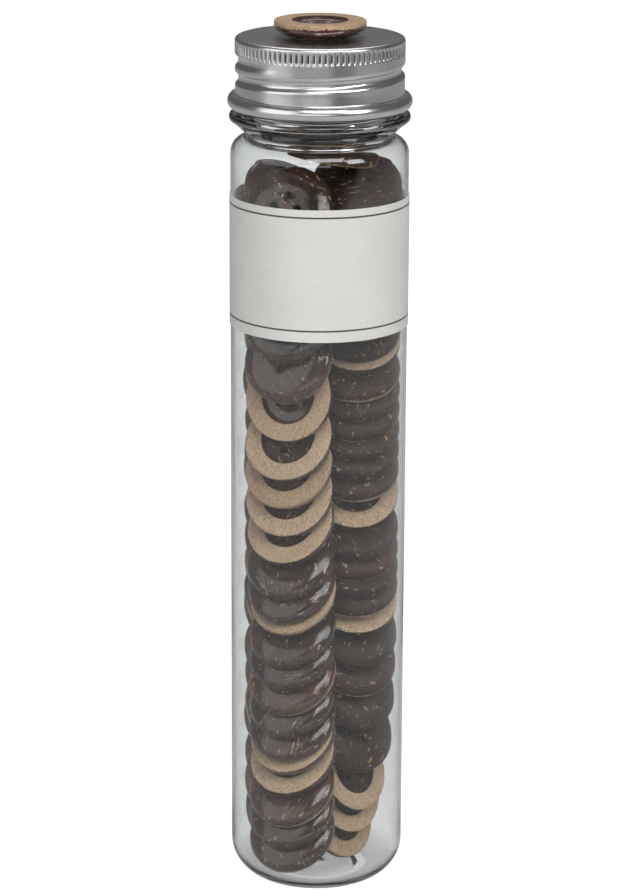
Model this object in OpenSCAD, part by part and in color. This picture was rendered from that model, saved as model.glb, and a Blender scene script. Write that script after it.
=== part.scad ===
// A clear plastic tube with an aluminium screw cap, full of coconut-shell buttons.
// A sample button is glued on the cap, and a paper band goes round the tube.
// Millimetres. The tube stands on z = 0 about the z axis and is seen from -y.

/* [Buttons] */
// diameter of a button, which also sets how wide the tube is
button_d = 20; // [18:0.5:24]
// thickness of a button from its ring face to its back
button_t = 3.4; // [3:0.1:4]
// height of the straight part of a button's edge
edge_h = 1.4; // [1:0.1:1.6]
// chamfer round the ring face
edge_cut = 0.2; // [0.1:0.05:0.4]
// diameter of the flat middle of a button's back
back_d = 14; // [13:0.5:15]
// diameter of the recess in a button's ring face
recess_d = 12.2; // [11:0.1:12.6]
// depth of the recess in its middle
recess_depth = 1.2; // [0.9:0.1:1.6]
// height of the recess's sloping side
recess_side = 0.84; // [0.4:0.02:0.86]
// width of the recess's sloping side
recess_slope = 0.5; // [0.3:0.1:1]
// diameter of a sewing hole
hole_d = 1.8; // [1.4:0.1:2.2]
// distance between neighbouring sewing holes
hole_pitch = 3.8; // [3.2:0.1:4.4]

/* [Tube] */
// inside radius of the tube in button radii, wide enough for three leaning stacks
tube_fit = 1.875; // [1.875:0.005:2]
// height of the tube to its rim
tube_h = 191; // [150:1:230]
// thickness of the tube's wall
wall = 0.7; // [0.5:0.05:1]
// thickness of the tube's floor
floor_t = 1.4; // [1.2:0.1:2]
// outside radius of the rounded heel
heel_r = 8; // [6:0.5:9]
// width of the flat ring that the tube stands on
foot_w = 2; // [1:0.1:3]
// width of the slope from the standing ring to the dish
dish_slope = 1; // [0.5:0.1:2]
// depth of the dish under the base
dish_h = 0.6; // [0.3:0.1:0.8]

/* [Neck] */
// how much smaller the waist under the neck ring is than the tube, on the radius
waist_in = 3.5; // [3:0.1:4]
// height of the waist between the neck ring and the shoulder
waist_h = 0.8; // [0.4:0.1:2]
// thickness of the neck's wall at the waist
neck_wall = 1.4; // [1.2:0.1:1.6]
// how much wider the neck is than the waist, on the radius
neck_out = 0.4; // [0.2:0.1:0.4]
// height of the neck above the neck ring
neck_h = 14.6; // [13:0.2:18]
// chamfer of the neck's rim
rim_cut = 0.4; // [0.2:0.1:0.6]
// height of the neck ring with its tapered underside
ring_h = 4.6; // [4:0.2:6]
// how far the neck ring stands out past the tube
ring_out = 0.3; // [0:0.1:0.4]
// height of the neck ring's upright face
ring_face = 0.6; // [0.4:0.1:1]
// chamfers of the neck ring
ring_cut = 0.5; // [0.3:0.1:0.6]
// fall of the neck ring's upper side
ring_fall = 0.2; // [0.1:0.05:0.3]

/* [Cap] */
// how much smaller the cap is than the tube, on the radius
cap_in = 1; // [0.8:0.1:1.2]
// thickness of the aluminium
cap_t = 0.4; // [0.3:0.05:0.5]
// height of the cap
cap_h = 15.6; // [14.6:0.1:15.8]
// radius of the cap's top edge
cap_edge = 0.8; // [0.5:0.1:1]
// thickness of the foam liner
liner_t = 1.2; // [0.8:0.1:1.6]
// height of the knurled band
knurl_h = 2.7; // [2:0.1:3]
// distance from one knurl groove to the next along the edge
knurl_pitch = 1.26; // [1:0.02:2]
// depth of a knurl groove
knurl_depth = 0.3; // [0.1:0.05:0.35]
// plain ends of the knurled band above and below its grooves
knurl_end = 0.2; // [0.1:0.05:0.4]
// how far the cap's inside stands in behind the knurl
knurl_back = 1; // [0.8:0.05:1]
// depth of the two grooves rolled round the skirt
groove_in = 0.8; // [0.6:0.05:0.9]
// height of a groove's floor and of the bead between the grooves
groove_h = 0.8; // [0.6:0.05:0.9]
// height of the slopes beside the grooves
slope_h = 1.1; // [0.8:0.05:1.2]
// how much lower the bead between the grooves is than the knurl
bead_in = 0.2; // [0:0.05:0.4]
// how far the curled bottom edge stands out
curl = 1.65; // [1:0.05:1.8]
// half the height of the curl
curl_h = 1.75; // [1.4:0.05:1.8]
// diameter of the glue under the sample button
glue_d = 11; // [8:0.5:13]
// thickness of the glue under the sample button
glue_t = 0.15; // [0.1:0.05:0.4]

/* [Label] */
// height of the paper band
label_h = 29; // [20:1:60]
// distance from the foot of the shoulder down to the band
label_drop = 9; // [2:0.5:50]
// thickness of the paper with its glue
label_t = 0.18; // [0.1:0.02:0.3]

/* [Stacks] */
// gap left between pieces that touch
touch = 0.05; // [0.03:0.01:0.1]
// how far the buttons reach up past the foot of the neck ring
fill_up = 1; // [0:0.5:8]
// room between the neck's bore and the buttons in it
bore_room = 0.5; // [0.2:0.1:2]
// unevenness of the stacks in degrees
wobble = 1; // [0:0.1:1.5]
// turn in degrees from one button to the next about their own axes
spin = 137; // [0:1:359]
// faces of the front stack from its foot up
front_faces = "bbbrrbbbbbrbbrrrrrbbbrbbbbbb"; // r shows the ring, b the back
// faces of the right stack from its foot up
right_faces = "rrrbbbbrbbbbrbbbbbbrbbbbrbbbbbbrbbbb"; // r shows the ring, b the back
// faces of the back stack from its foot up
back_faces = "bbbrbbbrbbbbrbbrbbbbrbbbbrbb"; // r shows the ring, b the back
// faces of the loose buttons that lie on top of the stacks
top_faces = "bb"; // r shows the ring, b the back

/* [Hidden] */
$fn = 96;
past = 1;
button_r = button_d / 2;
rim_z = edge_h / 2;
back_z = rim_z - button_t;
inner_r = tube_fit * button_r;
tube_r = inner_r + wall;
heel_in = heel_r - floor_t;
waist_r = tube_r - waist_in;
bore_r = waist_r - neck_wall;
neck_r = waist_r + neck_out;
ring_r = tube_r + ring_out;
ring_top = tube_h - neck_h;
ring_low = ring_top - ring_h;
ring_edge = ring_top - ring_fall - ring_cut;
shoulder_z = ring_low - waist_h - waist_in;
label_z = shoulder_z - label_drop - label_h;
fill_z = ring_low + fill_up;
cap_z = tube_h + liner_t + touch * 2;
cap_top = cap_z + cap_t;
cap_low = cap_top - cap_h;
cap_r = tube_r - cap_in;
cap_bore = cap_r - knurl_back - cap_t;
knurl_n = round(2 * PI * cap_r / knurl_pitch);
knurl_top = cap_top - cap_edge;
knurl_low = knurl_top - knurl_h;

// Points of an arc about [x, z] with radii a and b from angle f to angle t.
function arc(x, z, a, b, f, t, n) = [
    for (i = [0:n]) let (u = f + (t - f) * i / n) [x + a * cos(u), z + b * sin(u)]
];

// Outside of a button's half section, from the edge of the flat back to the ring face.
button_side = concat(
    arc(back_d / 2, -rim_z, button_r - back_d / 2, button_t - edge_h, -90, 0, 6),
    [[button_r, rim_z - edge_cut], [button_r - edge_cut, rim_z]]
);

// How a stack changes from its foot up, as [number of the button, value]: place in button radii,
// lean in degrees and the way it leans.
front_x = [[0, -0.53], [10, -0.53], [15, -0.64]];
front_y = [[0, -0.93], [10, -0.93], [15, -0.89]];
front_lean = [[0, 45], [10, 46], [12, 47], [13, 49], [14, 56], [16, 55], [17, 71], [18, 64], [19, 60]];
front_way = [[0, 239], [10, 239], [15, 246]];
front_plan = [front_x, front_y, front_lean, front_way, front_faces];
right_x = [[0, 0.58], [2, 0.83]];
right_y = [[0, 0.42], [2, 0.24]];
right_lean = [[0, 67], [2, 66], [3, 58], [5, 46], [8, 34.5], [11, 34.5], [12, 48], [13, 34.5]];
right_way = [[0, 320], [2, 318], [3, 304], [5, 288], [8, 272]];
right_plan = [right_x, right_y, right_lean, right_way, right_faces];
back_x = [[0, -0.84]];
back_y = [[0, 0.8]];
back_lean = [[0, 54.5]];
back_way = [[0, -43]];
back_plan = [back_x, back_y, back_lean, back_way, back_faces];
top_x = [[0, 0.3], [1, 0]];
top_y = [[0, -0.2], [1, -0.1]];
top_lean = [[0, 8]];
top_way = [[0, 0], [1, 15]];
top_plan = [top_x, top_y, top_lean, top_way, top_faces];

// Uneven but repeatable values from -1 to 1.
function sway(i, k) = sin(i * k * 67 + k * 31);

// A placed button is [x, y, lean, way it leans, ring side up, turn about its own axis, z].
function lie(plan, i) = [
    lookup(i, plan[0]) * button_r,
    lookup(i, plan[1]) * button_r,
    lookup(i, plan[2]) + wobble * sway(i, 1.7),
    lookup(i, plan[3]) + 2 * wobble * sway(i, 2.3),
    plan[4][i % len(plan[4])] == "r",
    spin * i
];
function up(p) = [sin(p[2]) * cos(p[3]), sin(p[2]) * sin(p[3]), cos(p[2])];

// Distance from a button's middle to its upper face, and how far it reaches down at a tilt from that face.
function upper(p) = p[4] ? rim_z : -back_z;
function reach(p, tilt) = max([for (s = button_side) s[0] * sin(tilt) - (p[4] ? s[1] : -s[1]) * cos(tilt)]);

// Rise from a button to the next one, which lies on its upper face.
function rise(p, q) = let (n = up(p), m = up(q), tilt = acos(min(1, n * m)))
    (upper(p) + touch + reach(q, tilt) - (q[0] - p[0]) * n[0] - (q[1] - p[1]) * n[1]) / n[2];

// Height of the tube's inside floor at radius r.
function floor_at(r) = let (d = min(heel_in, max(0, r - inner_r + heel_in)))
    floor_t + heel_in - sqrt(heel_in^2 - d^2);

// A point of a button turned to the way it lies, and its outside points as [radius in the tube, height].
function turned(v, p) =
    let (u = [v[0] * cos(p[2]) + v[2] * sin(p[2]), v[1], v[2] * cos(p[2]) - v[0] * sin(p[2])])
    [u[0] * cos(p[3]) - u[1] * sin(p[3]), u[0] * sin(p[3]) + u[1] * cos(p[3]), u[2]];
function spots(p) = [
    for (s = button_side, a = [0:5:355])
        let (v = turned([s[0] * cos(a), s[0] * sin(a), p[4] ? s[1] : -s[1]], p))
        [norm([p[0] + v[0], p[1] + v[1]]), v[2]]
];

// Height of the lowest button's middle when it rests on the floor.
function rest(p) = touch + max([for (s = spots(p)) floor_at(s[0]) - s[1]]);

// Room above a button's middle, under the shoulder or under the fill line within the neck.
function room(p) = min([for (s = spots(p)) (s[0] > bore_r - bore_room ? shoulder_z : fill_z) - s[1]]);

// A stack from its foot up, for as long as there is room for the next button.
function climb(plan, i, z) = let (p = lie(plan, i)) z > room(p) ? []
    : concat([concat(p, [z])], climb(plan, i + 1, z + rise(p, lie(plan, i + 1))));
function stack(plan) = climb(plan, 0, rest(lie(plan, 0)));

front_buttons = stack(front_plan);
right_buttons = stack(right_plan);
back_buttons = stack(back_plan);

// The loose buttons on top lie on the highest points of the three stacks under them.
function lower(p) = p[4] ? -back_z : rim_z;
function outline(p) = [
    for (s = button_side, a = [0:15:345])
        [p[0], p[1], p[6]] + turned([s[0] * cos(a), s[0] * sin(a), p[4] ? s[1] : -s[1]], p)
];
function upmost(buttons) = [for (i = [max(0, len(buttons) - 3):len(buttons) - 1]) each outline(buttons[i])];
function seat(p, points) = let (n = up(p)) touch + max([
    for (s = points)
        let (d = [s[0] - p[0], s[1] - p[1], 0])
        if (norm(d) < button_r) s[2] + (d * n + lower(p)) / n[2]
]);
function pile(plan, i, z) = i == len(plan[4]) ? []
    : concat([concat(lie(plan, i), [z])], pile(plan, i + 1, z + rise(lie(plan, i), lie(plan, i + 1))));
stack_tops = concat(upmost(front_buttons), upmost(right_buttons), upmost(back_buttons));
top_buttons = pile(top_plan, 0, seat(lie(top_plan, 0), stack_tops));

// Each stack goes out in a number of runs that share its buttons evenly.
front_runs = 7;
right_runs = 8;
back_runs = 6;

// A button about the middle of its straight edge, ring face up.
module button() {
    difference() {
        rotate_extrude() polygon(concat(
            [[0, back_z]],
            button_side,
            [[recess_d / 2, rim_z], [recess_d / 2 - recess_slope, rim_z - recess_side]],
            [[0, rim_z - recess_depth]]
        ));
        for (a = [45:90:315]) rotate(a) translate([hole_pitch / sqrt(2), 0, back_z - past])
            cylinder(d = hole_d, h = button_t + 2 * past, $fn = 24);
    }
}

module placed(p) {
    translate([p[0], p[1], p[6]]) rotate([0, p[2], p[3]]) rotate([p[4] ? 0 : 180, 0, p[5]]) button();
}

// Run i of the n runs of a stack, each button a solid of its own.
module run(buttons, i, n) {
    share = len(buttons) / n;
    for (k = [round((i - 1) * share):round(i * share) - 1]) placed(buttons[k]);
}

module front_run(i) {
    color("saddlebrown") run(front_buttons, i, front_runs);
}

module right_run(i) {
    color("sienna") run(right_buttons, i, right_runs);
}

module back_run(i) {
    color("peru") run(back_buttons, i, back_runs);
}

// One of the loose buttons on top, counted from the lowest.
module top_button(i) {
    color("chocolate") placed(top_buttons[i - 1]);
}

// The blown tube with its neck, turned about the z axis.
module tube() {
    foot_r = tube_r - heel_r - foot_w;
    color("lightblue") rotate_extrude() polygon(concat(
        [[0, dish_h], [foot_r - dish_slope, dish_h], [foot_r, 0]],
        arc(tube_r - heel_r, heel_r, heel_r, heel_r, -90, 0, 12),
        arc(waist_r, shoulder_z, waist_in, waist_in, 0, 90, 8),
        [[waist_r, ring_low], [ring_r - ring_cut, ring_edge - ring_face - ring_cut]],
        [[ring_r, ring_edge - ring_face], [ring_r, ring_edge], [ring_r - ring_cut, ring_edge + ring_cut]],
        [[neck_r, ring_top], [neck_r, tube_h - rim_cut], [neck_r - rim_cut, tube_h]],
        [[bore_r + rim_cut, tube_h], [bore_r, tube_h - rim_cut], [bore_r, ring_low - waist_h]],
        arc(waist_r, shoulder_z, waist_in - wall, waist_in - wall, 90, 0, 8),
        arc(inner_r - heel_in, heel_r, heel_in, heel_in, 0, -90, 12),
        [[0, floor_t]]
    ));
}

module label() {
    color("white") translate([0, 0, label_z]) difference() {
        cylinder(r = tube_r + touch + label_t, h = label_h);
        translate([0, 0, -past]) cylinder(r = tube_r + touch, h = label_h + 2 * past);
    }
}

// Foam disc inside the cap, seated on the rim.
module cap_liner() {
    color("ivory") translate([0, 0, tube_h + touch]) cylinder(r = cap_bore - touch, h = liner_t);
}

// Height on the skirt after a number of slopes and flats below the knurl.
function skirt_z(slopes, flats) = knurl_low - slopes * slope_h - flats * groove_h;

// Outside of the skirt below the knurl: a groove, a bead, a second groove and the plain edge.
skirt = [
    [cap_r - groove_in, skirt_z(1, 0)],
    [cap_r - groove_in, skirt_z(1, 1)],
    [cap_r - bead_in, skirt_z(2, 1)],
    [cap_r - bead_in, skirt_z(2, 2)],
    [cap_r - groove_in, skirt_z(3, 2)],
    [cap_r - groove_in, skirt_z(3, 3)],
    [cap_r, skirt_z(4, 3)]
];

module cap_shell() {
    color("silver") difference() {
        rotate_extrude() polygon(concat(
            [[0, cap_top]],
            arc(cap_r - cap_edge, knurl_top, cap_edge, cap_edge, 90, 0, 5),
            [[cap_r, knurl_low]],
            skirt,
            arc(cap_r, cap_low + curl_h, curl, curl_h, 90, -90, 10),
            [[cap_r - cap_t, cap_low]],
            [for (i = [len(skirt) - 1:-1:0]) skirt[i] - [cap_t, 0]],
            [[cap_bore, skirt_z(1, 0) + cap_t], [cap_bore, cap_z], [0, cap_z]]
        ));
        for (i = [0:knurl_n - 1]) rotate(360 * i / knurl_n) translate([cap_r, 0, knurl_low + knurl_end])
            cylinder(r = knurl_depth, h = knurl_h - 2 * knurl_end, $fn = 6);
    }
}

module glue_dot() {
    color("wheat") translate([0, 0, cap_top + touch]) cylinder(d = glue_d, h = glue_t);
}

// The sample button on the cap, ring face up.
module cap_button() {
    color("tan") translate([0, 0, cap_top + glue_t + touch * 2 - back_z]) button();
}

tube();
label();
for (i = [1:front_runs]) front_run(i);
for (i = [1:right_runs]) right_run(i);
for (i = [1:back_runs]) back_run(i);
for (i = [1:len(top_buttons)]) top_button(i);
cap_liner();
cap_shell();
glue_dot();
cap_button();
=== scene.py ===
import math
import bpy
import numpy as np
from mathutils import Matrix, Vector, noise
from mathutils.geometry import delaunay_2d_cdt


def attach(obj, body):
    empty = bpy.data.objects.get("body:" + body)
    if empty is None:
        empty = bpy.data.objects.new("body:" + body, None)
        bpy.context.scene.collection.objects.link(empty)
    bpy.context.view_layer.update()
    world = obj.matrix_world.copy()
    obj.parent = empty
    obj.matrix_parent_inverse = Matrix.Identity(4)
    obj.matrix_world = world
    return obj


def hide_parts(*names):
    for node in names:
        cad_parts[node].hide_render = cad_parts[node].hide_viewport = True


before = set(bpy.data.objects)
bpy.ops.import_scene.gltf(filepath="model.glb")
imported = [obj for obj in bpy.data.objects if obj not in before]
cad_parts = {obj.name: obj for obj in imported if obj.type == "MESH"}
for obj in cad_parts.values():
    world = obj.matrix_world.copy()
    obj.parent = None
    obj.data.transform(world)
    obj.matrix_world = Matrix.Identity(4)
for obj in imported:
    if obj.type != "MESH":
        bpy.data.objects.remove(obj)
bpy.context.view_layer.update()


# The tube: blown from clear plastic with a rounded heel, a dished base and a neck ring.
# A single thread runs round the neck under the cap, and the wall is faintly wavy.
MM = 0.001


class Wire:
    """A shader socket that takes part in sums like a number."""

    def __init__(self, tree, socket):
        self.tree = tree
        self.socket = socket

    def node(self, kind, settings, inputs, out=0):
        """Adds a node with its settings and inputs, and gives one of its outputs."""
        made = self.tree.nodes.new(kind)
        for key, value in settings.items():
            setattr(made, key, value)
        for key, value in inputs.items():
            if isinstance(value, Wire):
                self.tree.links.new(value.socket, made.inputs[key])
            else:
                made.inputs[key].default_value = value
        return Wire(self.tree, made.outputs[out])

    def math(self, operation, a, b=0.0):
        return self.node("ShaderNodeMath", {"operation": operation}, {0: a, 1: b})

    def __add__(self, other):
        return self.math("ADD", self, other)

    def __radd__(self, other):
        return self.math("ADD", other, self)

    def __sub__(self, other):
        return self.math("SUBTRACT", self, other)

    def __rsub__(self, other):
        return self.math("SUBTRACT", other, self)

    def __mul__(self, other):
        return self.math("MULTIPLY", self, other)

    def __rmul__(self, other):
        return self.math("MULTIPLY", other, self)

    def __abs__(self):
        return self.math("ABSOLUTE", self)

    def least(self, other):
        return self.math("MINIMUM", self, other)

    def most(self, other):
        return self.math("MAXIMUM", self, other)

    def step(self, low, high):
        """Goes smoothly from 0 at low to 1 at high, whichever of the two is larger."""
        settings = {"interpolation_type": "SMOOTHSTEP"}
        if high > low:
            return self.node("ShaderNodeMapRange", settings, {0: self, 1: low, 2: high})
        return self.node("ShaderNodeMapRange", settings, {0: self, 1: high, 2: low, 3: 1.0, 4: 0.0})

    def mix(self, a, b):
        """Colour a where this is 0 and colour b where it is 1."""
        colours = {0: self}
        for key, value in ((6, a), (7, b)):
            colours[key] = value if isinstance(value, Wire) else (*value, 1.0)
        return self.node("ShaderNodeMix", {"data_type": "RGBA"}, colours, 2)

    def stretch(self, scale, shift=(0.0, 0.0, 0.0)):
        """A vector scaled along its axes and then moved."""
        scaled = self.node("ShaderNodeVectorMath", {"operation": "MULTIPLY"}, {0: self, 1: scale})
        return scaled.node("ShaderNodeVectorMath", {"operation": "ADD"}, {0: scaled, 1: shift})

    def part(self, axis):
        """The X, Y or Z of a vector."""
        return self.node("ShaderNodeSeparateXYZ", {}, {0: self}, axis)

    def off_axis(self):
        """How far a place is from the z axis."""
        flat = self.stretch((1.0, 1.0, 0.0))
        return flat.node("ShaderNodeVectorMath", {"operation": "LENGTH"}, {0: flat}, 1)

    def grain(self, scale, detail=2.0, rough=0.5):
        """Smooth noise over a place, from 0 to 1."""
        return self.node(
            "ShaderNodeTexNoise", {}, {"Vector": self, "Scale": scale, "Detail": detail, "Roughness": rough}
        )

    def bump(self, strength, distance):
        """A normal for a surface with this height."""
        return self.node(
            "ShaderNodeBump", {}, {"Strength": strength, "Distance": distance, "Height": self}
        )


def material(name):
    """A new material, its Principled shader and a wire with the place on the object in millimetres."""
    made = bpy.data.materials.new(name)
    made.use_nodes = True
    shader = made.node_tree.nodes["Principled BSDF"]
    place = Wire(made.node_tree, shader.outputs[0]).node("ShaderNodeTexCoord", {}, {}, "Object")
    return made, shader, place.stretch((1 / MM, 1 / MM, 1 / MM))


def feed(node, **values):
    """Sets or links sockets of a node, with _ for a space in a socket's name."""
    for key, value in values.items():
        socket = node.inputs[key.replace("_", " ")]
        if isinstance(value, Wire):
            value.tree.links.new(value.socket, socket)
        else:
            socket.default_value = value


def arc(x, z, a, b, start, end, count):
    """Points on an ellipse about (x, z) with half axes a and b, from one angle to another in degrees."""
    turns = [math.radians(start + (end - start) * i / count) for i in range(count + 1)]
    return [(x + a * math.cos(t), z + b * math.sin(t)) for t in turns]


def line(start, end, count):
    """Points from start to end, without the end itself."""
    return [tuple(s + (e - s) * i / count for s, e in zip(start, end)) for i in range(count)]


def lathe(section, count, shape=None):
    """Vertices in millimetres and faces of a section turned about z, closed at the axis or on itself."""
    on_axis = 1e-6
    verts, rows = [], []
    for r, z in section:
        if r < on_axis:
            rows.append([len(verts)] * count)
            verts.append((0.0, 0.0, z))
            continue
        rows.append(range(len(verts), len(verts) + count))
        for k in range(count):
            turn = 2 * math.pi * k / count
            ra, za = shape(r, z, turn) if shape else (r, z)
            verts.append((ra * math.cos(turn), ra * math.sin(turn), za))
    faces = []
    closed = section[0][0] > on_axis
    for low, high in zip(rows, rows[1:] + rows[:1] if closed else rows[1:]):
        for k in range(count):
            near = (k + 1) % count
            face = [low[k], low[near], high[near], high[k]]
            faces.append([v for i, v in enumerate(face) if v not in face[:i]])
    return verts, faces


def piece(name, verts, faces, look, body, slot, *nodes, crease=40.0):
    """A smooth-shaded object from millimetre vertices, which stands for CAD nodes and rides on a body."""
    mesh = bpy.data.meshes.new(name)
    mesh.from_pydata([(x * MM, y * MM, z * MM) for x, y, z in verts], [], faces)
    mesh.materials.append(look)
    mesh.shade_smooth()
    mesh.set_sharp_from_angle(angle=math.radians(crease))
    made = bpy.data.objects.new(name, mesh)
    bpy.context.scene.collection.objects.link(made)
    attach(made, body)
    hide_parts(*nodes)
    return made


def smooth(x, low, high):
    """Rises smoothly from 0 at low to 1 at high."""
    t = min(1.0, max(0.0, (x - low) / (high - low)))
    return t * t * (3 - 2 * t)


tube_r, bore = 19.45, 18.75
heel, floor_t, base_z = 8.0, 1.4, 0.6
waist_r, neck_r, neck_bore, ring_r = 15.95, 16.35, 14.55, 19.15
shoulder_z, ring_low, ring_top, tube_top = 167.5, 171.8, 176.4, 191.0
shoulder_bend, inner_bend, rim_bend = 3.5, 2.8, 0.4
thread_pitch, thread_low, thread_turns = 4.2, 179.4, 1.6
thread_high, thread_half, thread_flank, thread_fade = 0.5, 1.15, 0.75, 0.08
tube_facets = 192
clear_tint, hazy_tint = (0.75, 0.765, 0.765), (0.81, 0.82, 0.82)
base_tint, shade_tint = (0.5, 0.5, 0.49), (0.92, 0.93, 0.93, 1.0)


def threaded(r, z, turn):
    """Adds the thread's ridge to the neck's outside."""
    if r < neck_r - 0.01 or z < ring_top or z > tube_top - 0.5:
        return r, z
    ridge = 0.0
    for lap in range(3):
        way = turn / (2 * math.pi) + lap
        off = abs(z - thread_low - thread_pitch * way)
        ends = smooth(way, 0.0, thread_fade) * smooth(thread_turns - way, 0.0, thread_fade)
        ridge = max(ridge, ends * smooth(thread_half - off, 0.0, thread_flank))
    return r + thread_high * ridge, z


# The section runs from the middle of the base out to the heel, up to the rim and down the bore.
foot = tube_r - heel
inner_heel = heel - floor_t
tube_section = [(0.0, 1.0), (0.8, 0.98), (1.4, 0.72)]
tube_section += line((2.4, base_z), (foot - 3.4, base_z), 4)
tube_section += arc(foot - 3.4, 0.25, 0.6, 0.35, 90, 30, 3)
tube_section += arc(foot - 1.8, 0.35, 0.6, 0.35, 200, 270, 4)
tube_section += arc(foot, heel, heel, heel, -90, 0, 28)
tube_section += line((tube_r, heel + 2), (tube_r, shoulder_z), 16)
tube_section += arc(waist_r, shoulder_z, shoulder_bend, shoulder_bend, 0, 84, 16)
tube_section += arc(waist_r + 0.35, ring_low - 0.4, 0.35, 0.4, 270, 180, 4)
tube_section += [(waist_r + 0.1, ring_low + 0.15), (waist_r + 0.5, ring_low + 0.45)]
tube_section += line((waist_r + 0.9, ring_low + 0.7), (ring_r, ring_top - 1.85), 3)
tube_section += arc(ring_r, ring_top - 1.0, 0.6, 0.85, -80, 85, 12)
tube_section += [(18.4, ring_top - 0.1), (neck_r + 0.8, ring_top - 0.02), (neck_r + 0.2, ring_top + 0.05)]
tube_section += line((neck_r, ring_top + 0.25), (neck_r, tube_top - 0.45), 50)
tube_section += arc(neck_r - rim_bend, tube_top - rim_bend, rim_bend, rim_bend, 0, 90, 5)
tube_section += arc(neck_bore + rim_bend, tube_top - rim_bend, rim_bend, rim_bend, 90, 180, 5)
tube_section += line((neck_bore, tube_top - 1), (neck_bore, ring_low - 0.8), 6)
tube_section += arc(waist_r, shoulder_z, inner_bend, inner_bend, 120, 0, 16)
tube_section += line((bore, shoulder_z - 4), (bore, heel), 16)
tube_section += arc(bore - inner_heel, heel, inner_heel, inner_heel, 0, -90, 24)
tube_section += [(6.0, floor_t), (2.0, floor_t), (0.0, floor_t)]

clear, shader, spot = material("clear_plastic")
haze = spot.stretch((0.05, 0.05, 0.02)).grain(1.0, 2.0)
in_base = 0.7 * spot.part("Z").step(6.0, 1.0)
waves = spot.stretch((0.11, 0.11, 0.025)).grain(1.0, 1.0)
feed(
    shader,
    Base_Color=in_base.mix(haze.mix(clear_tint, hazy_tint), base_tint),
    Roughness=0.015 + 0.03 * haze,
    IOR=1.5,
    Transmission_Weight=1.0,
    Normal=waves.bump(0.12, 0.0006),
)

# Lamplight passes straight through the wall, so that the buttons inside are lit.
to_lamp = spot.node("ShaderNodeLightPath", {}, {}, "Is Shadow Ray")
letting = spot.node("ShaderNodeBsdfTransparent", {}, {"Color": shade_tint})
glass = Wire(spot.tree, shader.outputs[0])
both = spot.node("ShaderNodeMixShader", {}, {0: to_lamp, 1: glass, 2: letting})
feed(spot.tree.nodes["Material Output"], Surface=both)

verts, faces = lathe(tube_section, tube_facets, threaded)
piece("clear_tube", verts, faces, clear, "tube", "clear_plastic", "tube", crease=60.0)


# The buttons: turned from coconut shell, with four sewing holes in a dished recess.
# The ring face is bare tan shell, and the recess and the back keep the dark skin.
# They lie loose in leaning stacks, and those at the right and on top are less polished, with their dark
# skin painted darker as painted shade.
button_r, ring_z, back_z = 10.0, 0.7, -2.7
recess_r, recess_deep, recess_rise, recess_flat = 6.1, 1.2, 0.36, 5.6
inner_r, hole_r, hole_at, hole_lip = 4.7, 0.9, 2.687, 0.12
rim_count, hole_count = 80, 20
tan_shade, tan_light, tan_aged = (0.36, 0.25, 0.16), (0.5, 0.365, 0.245), (0.25, 0.15, 0.085)
pore_brown, pore_pale, fleck_tan = (0.24, 0.145, 0.08), (0.62, 0.48, 0.34), (0.33, 0.2, 0.11)
skin_black, skin_brown, skin_red = (0.017, 0.0085, 0.006), (0.05, 0.021, 0.012), (0.075, 0.03, 0.017)
skin_painted_shade, lip_shade_dark = (0.02, 0.01, 0.007), (0.02, 0.012, 0.009)
# The right and top stacks are less polished, and their dark skin is painted darker as painted shade.
stack_polish_and_shade = {"front": 1.0, "right": 0.05, "back": 1.0, "top": 0.3}
first_seed, seed_step, lay_turns, tan_edged_seed = 0.37, 0.618034, 5.7, 0.84


def recess_z(r):
    """Height of the dished recess at a distance from the button's axis."""
    return ring_z - recess_deep + recess_rise * (r / recess_flat) ** 2


def drilled(height):
    """The middle of a face as a disc with four holes, at height(r), and the rings of its rim and holes."""
    points, edges = [], []
    lip_r = hole_r + hole_lip

    def ring(x, y, r, count):
        first = len(points)
        for k in range(count):
            turn = 2 * math.pi * k / count
            points.append(Vector((x + r * math.cos(turn), y + r * math.sin(turn))))
        edges.extend((first + k, first + (k + 1) % count) for k in range(count))
        return list(range(first, first + count))

    def off_holes(point, room):
        return all((point - Vector(c)).length > lip_r + room for c in centres)

    rim = ring(0.0, 0.0, inner_r, rim_count)
    centres = [(hole_at * math.cos(a), hole_at * math.sin(a)) for a in np.radians([45, 135, 225, 315])]
    holes = [ring(x, y, lip_r, hole_count) for x, y in centres]
    for r, count in ((0.6, 8), (1.3, 14), (4.1, 40)):
        for k in range(count):
            turn = 2 * math.pi * (k + 0.5) / count
            point = Vector((r * math.cos(turn), r * math.sin(turn)))
            if off_holes(point, 0.25):
                points.append(point)
    flat, _, faces, *_ = delaunay_2d_cdt(points, edges, [], 0, 1e-5)
    kept = []
    for face in faces:
        middle = sum((flat[v] for v in face), Vector((0.0, 0.0))) / 3
        if off_holes(middle, -0.02):
            kept.append(list(face))
    return [(v.x, v.y, height(v.length)) for v in flat], kept, rim, holes


def band(last, ring):
    """Faces from one ring of vertices to the next."""
    return [list(face) for face in zip(last, ring, ring[1:] + ring[:1], last[1:] + last[:1])]


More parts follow.
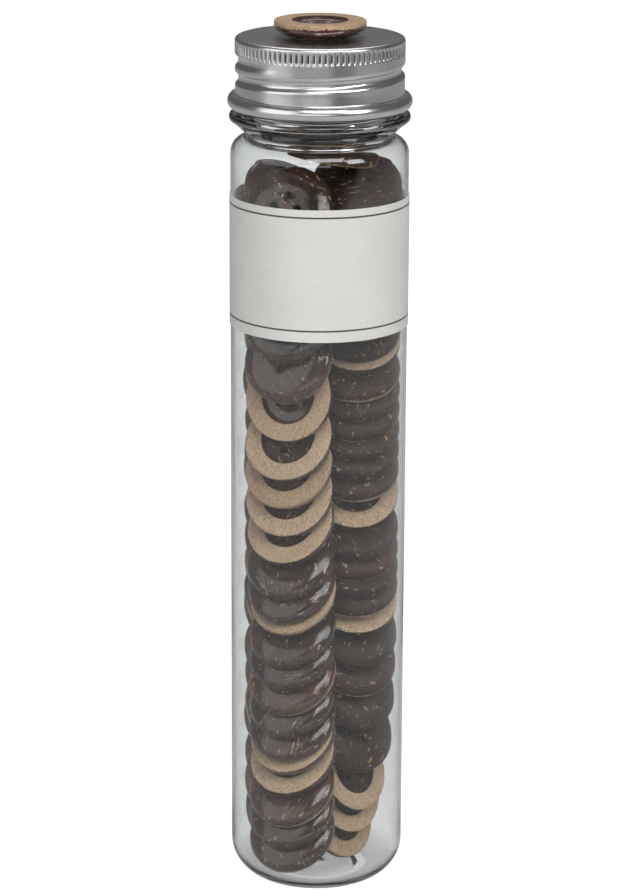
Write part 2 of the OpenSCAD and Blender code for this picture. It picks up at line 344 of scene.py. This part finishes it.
def make_button():
    """One button about the middle of its edge, ring face up."""
    verts, faces, rim, holes = drilled(recess_z)
    under, under_faces, under_rim, under_holes = drilled(lambda r: back_z)
    shift = len(verts)
    verts += under
    faces += [[v + shift for v in reversed(face)] for face in under_faces]
    side = [(5.3, recess_z(5.3)), (5.55, -0.12), (5.68, 0.1), (6.0, 0.55), (6.16, 0.66), (6.4, ring_z)]
    side += [(7.4, ring_z), (8.6, ring_z), (9.6, ring_z - 0.01), (9.85, 0.62), (9.97, 0.45)]
    side += [(button_r, 0.1), (button_r, -0.4)]
    side += arc(button_r / 2, -0.7, button_r / 2, 2.0, 0, -90, 14)
    last = rim
    for r, z in side:
        ring = list(range(len(verts), len(verts) + rim_count))
        for k in range(rim_count):
            turn = 2 * math.pi * k / rim_count
            verts.append((r * math.cos(turn), r * math.sin(turn), z))
        faces += band(last, ring)
        last = ring
    faces += band(last, [v + shift for v in under_rim])
    for top, bottom in zip(holes, under_holes):
        middle = np.mean([verts[v][:2] for v in top], axis=0)
        rings = [top]
        for z in (recess_z(hole_at) - 0.13, -1.6, back_z + 0.13):
            rings.append(list(range(len(verts), len(verts) + hole_count)))
            for v in top:
                x, y = middle + (np.array(verts[v][:2]) - middle) * hole_r / (hole_r + hole_lip)
                verts.append((x, y, z))
        rings.append([v + shift for v in bottom])
        for last, ring in zip(rings, rings[1:]):
            faces += [[a, d, c, b] for a, b, c, d in band(last, ring)]
    return np.array(verts), faces


def solids(node):
    """The separate solids of a CAD node as corner triples in millimetres."""
    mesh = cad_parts[node].data
    mesh.calc_loop_triangles()
    places = np.array([v.co for v in mesh.vertices]) / MM
    keys = {}
    same = [keys.setdefault(tuple(np.round(p, 3)), i) for i, p in enumerate(places)]
    root = list(range(len(places)))

    def find(i):
        while root[i] != i:
            root[i] = root[root[i]]
            i = root[i]
        return i

    for tri in mesh.loop_triangles:
        a, b, c = (find(same[v]) for v in tri.vertices)
        root[b] = a
        root[find(c)] = a
    groups = {}
    for tri in mesh.loop_triangles:
        groups.setdefault(find(same[tri.vertices[0]]), []).append([places[v] for v in tri.vertices])
    return [np.array(group) for group in groups.values()]


def spun(angle):
    """The matrix of a turn about z."""
    c, s = math.cos(angle), math.sin(angle)
    return np.array([[c, -s, 0], [s, c, 0], [0, 0, 1]])


def lying(corners):
    """Turn and place of a button from its CAD solid: its axis, its ring face and its holes."""
    skim, upright, hole_zone = 0.02, 0.1, 4.5
    crossed = np.cross(corners[:, 1] - corners[:, 0], corners[:, 2] - corners[:, 0])
    area = np.linalg.norm(crossed, axis=1) / 2
    normal = crossed / np.maximum(2 * area, 1e-12)[:, None]
    middles = corners.mean(axis=1)
    centre = (middles * area[:, None]).sum(axis=0) / area.sum()
    axis = np.linalg.eigh((normal * area[:, None]).T @ normal)[1][:, 2]
    points = corners.reshape(-1, 3) - centre
    along = points @ axis
    radius = np.linalg.norm(points - along[:, None] * axis, axis=1)
    if radius[along > along.max() - skim].max() < radius[along < along.min() + skim].max():
        axis, along = -axis, -along
    origin = centre + axis * (along.max() - ring_z)
    side = np.cross(axis, [1.0, 0.0, 0.0] if abs(axis[0]) < 0.7 else [0.0, 1.0, 0.0])
    side /= np.linalg.norm(side)
    across = np.cross(axis, side)
    off = middles - origin
    u, v = off @ side, off @ across
    in_hole = (abs(normal @ axis) < upright) & (np.hypot(u, v) < hole_zone)
    phase = (area[in_hole] * np.exp(4j * np.arctan2(v[in_hole], u[in_hole]))).sum()
    spin = np.angle(phase) / 4 - math.pi / 4
    return np.array([side, across, axis]).T @ spun(spin), origin


shell, shader, spot = material("coconut_shell")
place = spot.node("ShaderNodeAttribute", {"attribute_name": "place"}, {}, 1)
seed = spot.node("ShaderNodeAttribute", {"attribute_name": "seed"}, {}, 2)
polish_and_shade = spot.node("ShaderNodeAttribute", {"attribute_name": "polish_and_shade"}, {}, 2)
height = place.part("Z")
out = place.off_axis()
own = spot.node("ShaderNodeCombineXYZ", {}, {0: seed * 37.0, 1: seed * 91.0, 2: seed * 53.0})
fibres = place.stretch((0.15, 1.3, 0.6), own).grain(1.0, 3.0, 0.6)
cloud = place.stretch((0.16, 0.28, 0.3), own).grain(1.0, 2.0)
specks = place.stretch((0.45, 1.15, 0.95), own).grain(1.0, 3.0, 0.6)
strands = place.stretch((0.22, 2.4, 1.6), own).grain(1.0, 2.0)
pores = place.stretch((1.6, 4.0, 3.0), own).grain(1.0, 2.0)

# The bare shell ends on the edge, higher or lower from one button to the next.
trimmed = abs(seed - tan_edged_seed).step(0.08, 0.2)
edge_line = (-0.2 + 0.75 * trimmed + (cloud - 0.5) + 0.9 * (pores - 0.5)).least(0.5)
bare = out.step(recess_r - 0.1, recess_r + 0.1) * (height - edge_line).step(-0.12, 0.12)

tan = fibres.step(0.2, 0.8).mix(tan_shade, tan_light)
tan = (0.75 * pores.step(0.55, 0.64)).mix(tan, pore_brown)
tan = (0.6 * pores.step(0.45, 0.37)).mix(tan, pore_pale)
tan = (0.5 * seed.step(0.6, 1.0)).mix(tan, tan_aged)

dark = cloud.step(0.3, 0.7).mix(skin_black, skin_brown)
dark = (seed * fibres).step(0.25, 0.6).mix(dark, skin_red)
# Painted shade: the skin of the less polished stacks at the right and on top is painted darker.
dark = (0.6 - 0.6 * polish_and_shade).mix(dark, skin_painted_shade)
fleck = specks.step(0.635, 0.665).most(0.8 * strands.step(0.69, 0.73))
dark = fleck.mix(dark, fleck_tan)

# Painted shade: a dark ring is painted round the lip of the recess, where its wall turns down.
recess_lip_shade = abs(out - (recess_r - 0.05)).step(0.22, 0.07)
feed(
    shader,
    Base_Color=(0.7 * recess_lip_shade).mix(bare.mix(dark, tan), lip_shade_dark),
    Roughness=0.42 - 0.25 * polish_and_shade + 0.12 * fibres + 0.35 * bare + 0.2 * fleck,
    Specular_IOR_Level=0.12,
    Normal=(cloud + 0.25 * strands).bump(0.12, 0.0002),
    Coat_Weight=(0.95 - 0.9 * bare) * polish_and_shade,
    Coat_Roughness=0.11,
    Coat_IOR=1.7,
)

button_verts, button_faces = make_button()


def store(mesh, name, kind, field, values):
    """Keeps a value for each vertex, which the material reads by its name."""
    mesh.attributes.new(name, kind, "POINT").data.foreach_set(field, values)


def dress(name, node, body, count, polish_and_shade=1.0):
    """Puts a turned button in the place of each solid of a CAD node, and tells how many there are."""
    verts, faces, local, seeds = [], [], [], []
    for k, corners in enumerate(solids(node)):
        turn, origin = lying(corners)
        chance = math.modf(first_seed + seed_step * (count + k))[0]
        lay = 2 * math.pi * math.modf(lay_turns * chance)[0]
        faces += [[v + len(verts) for v in face] for face in button_faces]
        verts += (button_verts @ turn.T + origin).tolist()
        local.append(button_verts @ spun(lay).T)
        seeds += [chance] * len(button_verts)
    made = piece(name, verts, faces, shell, body, "coconut", node, crease=50.0)
    store(made.data, "place", "FLOAT_VECTOR", "vector", np.concatenate(local).ravel())
    store(made.data, "seed", "FLOAT", "value", np.array(seeds))
    store(made.data, "polish_and_shade", "FLOAT", "value", np.full(len(seeds), polish_and_shade))
    return len(local)


count = 0
for node in sorted(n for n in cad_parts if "_run_" in n or "top_" in n):
    count += dress(node + "_buttons", node, "tube", count, stack_polish_and_shade[node.split("_")[0]])


# The label: one band of uncoated paper, wrapped round the tube and lapped over itself at the back.
# It is glued, and two thin printed rules run round it near its edges.
label_low, label_high, label_in, label_out = 129.5, 158.5, 19.5, 19.68
upper_rule, lower_rule = label_high - 1.7, label_low + 2.5
rule_half, rule_blur = 0.14, 0.24
label_steps, cut_edge = 200, 0.03
lap, lap_lift, lap_from, lap_to = math.radians(14), 0.19, 0.955, 0.975
paper_shade, paper_light, ink_black = (0.64, 0.635, 0.61), (0.71, 0.705, 0.685), (0.012, 0.012, 0.012)

paper, shader, spot = material("label_paper")
height = spot.part("Z")
fibre = spot.stretch((1.0, 1.0, 2.2)).grain(1.6, 4.0, 0.6)
mottle = spot.grain(0.12, 2.0)
stock = (0.6 * fibre + 0.4 * mottle).step(0.3, 0.7).mix(paper_shade, paper_light)
rules = [abs(height - z).step(rule_blur, rule_half) for z in (upper_rule, lower_rule)]
ink = rules[0].most(rules[1]) * (0.86 + 0.14 * fibre)
feed(
    shader,
    Base_Color=ink.mix(stock, ink_black),
    Roughness=0.62 - 0.15 * ink + 0.1 * fibre,
    Normal=fibre.bump(0.2, 0.00008),
)

verts, faces = [], []
strip = [(label_in, label_low), (label_out, label_low + cut_edge)]
strip += [(label_out, label_high - cut_edge), (label_in, label_high)]
for k in range(label_steps + 1):
    turn = math.pi / 2 - lap / 2 + (2 * math.pi + lap) * k / label_steps
    lift = lap_lift * smooth(k / label_steps, lap_from, lap_to)
    for r, z in strip:
        verts.append(((r + lift) * math.cos(turn), (r + lift) * math.sin(turn), z))
for k in range(label_steps):
    a, b = 4 * k, 4 * k + 4
    faces += [[a + i, b + i, b + (i + 1) % 4, a + (i + 1) % 4] for i in range(4)]
faces += [[0, 1, 2, 3], [4 * label_steps + i for i in (3, 2, 1, 0)]]
piece("label_band", verts, faces, paper, "tube", "paper", "label")


# The cap's liner: a disc of white foam, die-cut from sheet and pressed into the cap.
# The tube's rim has left a shallow ring in its underside.
liner_low, liner_high, liner_r, liner_edge = 191.05, 192.25, 17.0, 0.2
liner_facets = 96
foam_shade, foam_light = (0.7, 0.69, 0.65), (0.8, 0.79, 0.76)

foam, shader, spot = material("liner_foam")
cells = spot.node("ShaderNodeTexVoronoi", {}, {"Vector": spot, "Scale": 2.2})
tone = spot.grain(0.4, 3.0)
feed(
    shader,
    Base_Color=tone.mix(foam_shade, foam_light),
    Roughness=0.75 + 0.15 * cells,
    Normal=cells.bump(0.3, 0.0001),
)

section = [(0.0, liner_low)] + line((3.0, liner_low), (neck_bore, liner_low), 4)
section += arc((neck_bore + neck_r) / 2, liner_low, 0.8, 0.14, 180, 0, 8)
section += arc(liner_r - liner_edge, liner_low + liner_edge, liner_edge, liner_edge, -90, 0, 4)
section += arc(liner_r - liner_edge, liner_high - liner_edge, liner_edge, liner_edge, 0, 90, 4)
section += [(0.0, liner_high)]
verts, faces = lathe(section, liner_facets)
piece("liner_disc", verts, faces, foam, "liner", "foam", "cap_liner")


# The cap: drawn from thin aluminium, knurled round its top, with the thread rolled into its skirt
# and the bottom edge curled outwards. The satin finish has fine rings from the rolling.
# It screws on the tube's neck.
cap_top, cap_low, cap_r, cap_t, cap_bore = 192.7, 177.1, 18.45, 0.4, 17.05
skirt_low = cap_top - 10.6
knurls, knurl_high, knurl_low, knurl_deep, knurl_sharp = 92, 191.9, 189.2, 0.32, 3
knurl_facets, plate_r = 8, 17.0
groove_pitch, groove_start, groove_first, groove_last = 3.8, 8.8, 4.3, 9.7
groove_deep, groove_half, groove_flank, groove_fade = 0.75, 1.55, 1.2, 0.6
plate_z, curl_r, curl_half = cap_top - 0.12, 1.65, 1.75
metal_shade, metal_light, knurl_shade_grey = (0.6, 0.6, 0.61), (0.7, 0.7, 0.71), (0.2, 0.2, 0.2)

metal, shader, spot = material("satin_aluminium")
height = spot.part("Z")
out = spot.off_axis()
rings = spot.node("ShaderNodeCombineXYZ", {}, {0: out * 9.0, 1: height * 9.0, 2: 0.0}).grain(1.0, 3.0, 0.7)
wear = spot.grain(0.22, 3.0)
sheen = (0.5 * rings + 0.5 * wear).step(0.3, 0.7).mix(metal_shade, metal_light)
# Painted shade: the grooves of the knurl are painted darker grey, standing for the shade inside them.
in_band = height.step(knurl_low - 0.1, knurl_low + 0.3) * (knurl_high - height).step(-0.2, 0.2)
painted_knurl_shade = 0.75 * in_band * (cap_r - out).step(0.05, 0.25)
feed(
    shader,
    Base_Color=painted_knurl_shade.mix(sheen, knurl_shade_grey),
    Metallic=1.0,
    Roughness=0.19 + 0.08 * rings + 0.05 * wear,
    Normal=rings.bump(0.06, 0.00006),
)


def rolled(r, z, turn):
    """Presses the knurl and the screw thread into the cap's skirt."""
    depth = cap_top - z
    if r < plate_r or z < skirt_low or depth < 0.75:
        return r, z
    knurled = smooth(z, knurl_low - 0.1, knurl_low + 0.5) * smooth(knurl_high + 0.1 - z, 0.0, 0.6)
    if r > 18.0 and knurled > 0:
        r -= knurl_deep * knurled * (0.5 + 0.5 * math.cos(knurls * turn)) ** knurl_sharp
    way = (turn / (2 * math.pi) - 0.5) % 1.0
    dent = 0.0
    for lap in (-1, 0, 1):
        middle = groove_start - groove_pitch * (way + lap)
        begun = smooth(middle - groove_first, 0.0, groove_fade)
        ended = smooth(groove_last - middle, 0.0, groove_fade)
        dent = max(dent, begun * ended * smooth(groove_half - abs(depth - middle), 0.0, groove_flank))
    return r - groove_deep * dent, z


section = [(0.0, plate_z)] + line((3.0, plate_z), (14.0, cap_top - 0.1), 3)
section += [(14.0, cap_top - 0.1), (15.2, cap_top - 0.05), (16.0, cap_top), (plate_r, cap_top)]
section += arc(cap_r - 0.8, knurl_high, 0.8, 0.8, 90, 5, 8)
section += line((cap_r, knurl_high), (cap_r, knurl_low), 10)
section += line((cap_r, knurl_low), (cap_r - 0.05, skirt_low), 30)
section += arc(cap_r, cap_low + curl_half, curl_r, curl_half, 90, -90, 16)
section += [(cap_r - cap_t, cap_low + 0.05)]
section += line((cap_r - cap_t, cap_low + 1.0), (cap_r - cap_t, skirt_low), 4)
section += line((cap_r - cap_t, skirt_low), (cap_r - cap_t, cap_top - 4.4), 14)
section += [(cap_bore, cap_top - 4.0), (cap_bore, cap_top - cap_t), (0.0, cap_top - cap_t)]
verts, faces = lathe(section, knurls * knurl_facets, rolled)
piece("screw_cap", verts, faces, metal, "cap", "aluminium", "cap_shell", crease=60.0)


# The glue: a dab of clear hot-melt that fixes the sample button on the cap.
# It is pressed flat while it is soft, so its edge is uneven.
glue_low, glue_high, glue_r, glue_ragged = 192.75, 192.9, 5.5, 0.14
glue_facets = 64
glue_amber, glue_pale = (0.6, 0.5, 0.34), (0.72, 0.63, 0.47)

dab, shader, spot = material("hot_glue")
cloudy = spot.grain(0.6, 3.0)
feed(
    shader,
    Base_Color=cloudy.mix(glue_amber, glue_pale),
    Roughness=0.25 + 0.2 * cloudy,
    Normal=cloudy.bump(0.3, 0.0002),
)


def squeezed(r, z, turn):
    """Makes the dab's edge uneven."""
    ragged = noise.noise(Vector((1.7 * math.cos(turn), 1.7 * math.sin(turn), 4.0)))
    return r * (1 + glue_ragged * ragged * (r / glue_r) ** 2), z


section = [(0.0, glue_low), (3.0, glue_low)]
section += arc(glue_r - 0.2, (glue_low + glue_high) / 2, 0.2, 0.075, -90, 90, 8)
section += [(3.0, glue_high), (0.0, glue_high)]
verts, faces = lathe(section, glue_facets, squeezed)
piece("glue_dab", verts, faces, dab, "cap", "glue", "glue_dot")


# The sample button: one of the same coconut buttons, with its ring face up.
# It is glued on the middle of the cap and turns with it. The bare shell reaches down its edge.
tan_edged_draw = 4
dress("sample_button", "cap_button", "cap", tan_edged_draw)


# The studio: a pale paper floor before a white backdrop, with soft lamps in front, at both sides
# and behind. The camera stands above the cap's height and looks down through a long lens.
def backdrop_seen(wire, mirrored):
    """1 for the camera, alone or straight through the glass, and the given share in mirrors."""
    def ray(name):
        return wire.node("ShaderNodeLightPath", {}, {}, name)

    bounced = ray("Diffuse Depth") + ray("Glossy Depth")
    through = ray("Is Transmission Ray") * bounced.step(0.6, 0.4)
    return ray("Is Camera Ray").most(through).most(mirrored * ray("Is Glossy Ray"))


black, white = (0.0, 0.0, 0.0), (1.0, 1.0, 1.0)
floor_far, floor_near = (0.02, 0.02, 0.02), (0.35, 0.35, 0.35)
floor_corners = [(-4, -3, 0), (4, -3, 0), (4, 6, 0), (-4, 6, 0)]

pale, shader, spot = material("floor_paper")
far = spot.part("Y")
behind = far.step(200.0, 700.0)
near = far.step(-720.0, -560.0)
shown = backdrop_seen(spot, 0.2 * near) * (0.85 + 0.13 * behind)
grey = near * (0.97 + 0.06 * spot.grain(0.02, 2.0))
feed(
    shader,
    Base_Color=grey.mix(floor_far, floor_near),
    Roughness=0.9,
    Emission_Color=shown.mix(black, white),
    Emission_Strength=1.0,
)
mesh = bpy.data.meshes.new("floor")
mesh.from_pydata(floor_corners, [], [(0, 1, 2, 3)])
mesh.materials.append(pale)
floor = bpy.data.objects.new("floor", mesh)
bpy.context.scene.collection.objects.link(floor)

world = bpy.data.worlds.new("studio")
bpy.context.scene.world = world
world.use_nodes = True
backdrop = world.node_tree.nodes["Background"]
sky = Wire(world.node_tree, backdrop.outputs[0])
in_mirror = sky.node("ShaderNodeLightPath", {}, {}, "Is Glossy Ray")
feed(
    backdrop,
    Color=(*white, 1.0),
    Strength=0.18 + 0.82 * backdrop_seen(sky, 0.02) - 0.07 * in_mirror,
)


def lamp(name, place, aim, size, power):
    """A soft rectangular lamp that faces a point, in metres and watts."""
    light = bpy.data.lights.new(name, "AREA")
    light.shape = "RECTANGLE"
    light.size, light.size_y = size
    light.energy = power
    made = bpy.data.objects.new(name, light)
    made.location = place
    made.rotation_euler = (Vector(aim) - Vector(place)).to_track_quat("-Z", "Y").to_euler()
    bpy.context.scene.collection.objects.link(made)


lamp("key", (0.12, -0.75, 1.0), (0, 0, 0.1), (0.8, 0.5), 7.0)
lamp("side", (0.64, -0.54, 0.6), (0, 0, 0.06), (0.38, 0.43), 3.6)
lamp("fill", (-0.9, -0.6, 0.5), (0, 0, 0.1), (1.0, 1.0), 4.3)
lamp("front", (-0.15, -1.25, 0.24), (0, 0, 0.14), (1.0, 0.34), 1.7)
lamp("back", (0.0, 0.5, 1.1), (0, 0, 0.1), (0.8, 0.8), 4.0)

picture_high, focal_pixels, sensor = 896, 3312, 24.0
camera_place, tilt_down, roll = (0.0004, -0.7101, 0.3034), 15.95, 0.29
camera = bpy.data.cameras.new("camera")
camera.sensor_fit = "VERTICAL"
camera.sensor_height = sensor
camera.lens = sensor * focal_pixels / picture_high
viewer = bpy.data.objects.new("camera", camera)
viewer.matrix_world = (
    Matrix.Translation(camera_place)
    @ Matrix.Rotation(math.radians(90 - tilt_down), 4, "X")
    @ Matrix.Rotation(math.radians(roll), 4, "Z")
)
bpy.context.scene.collection.objects.link(viewer)
bpy.context.scene.camera = viewer
bpy.context.scene.view_settings.view_transform = "Standard"
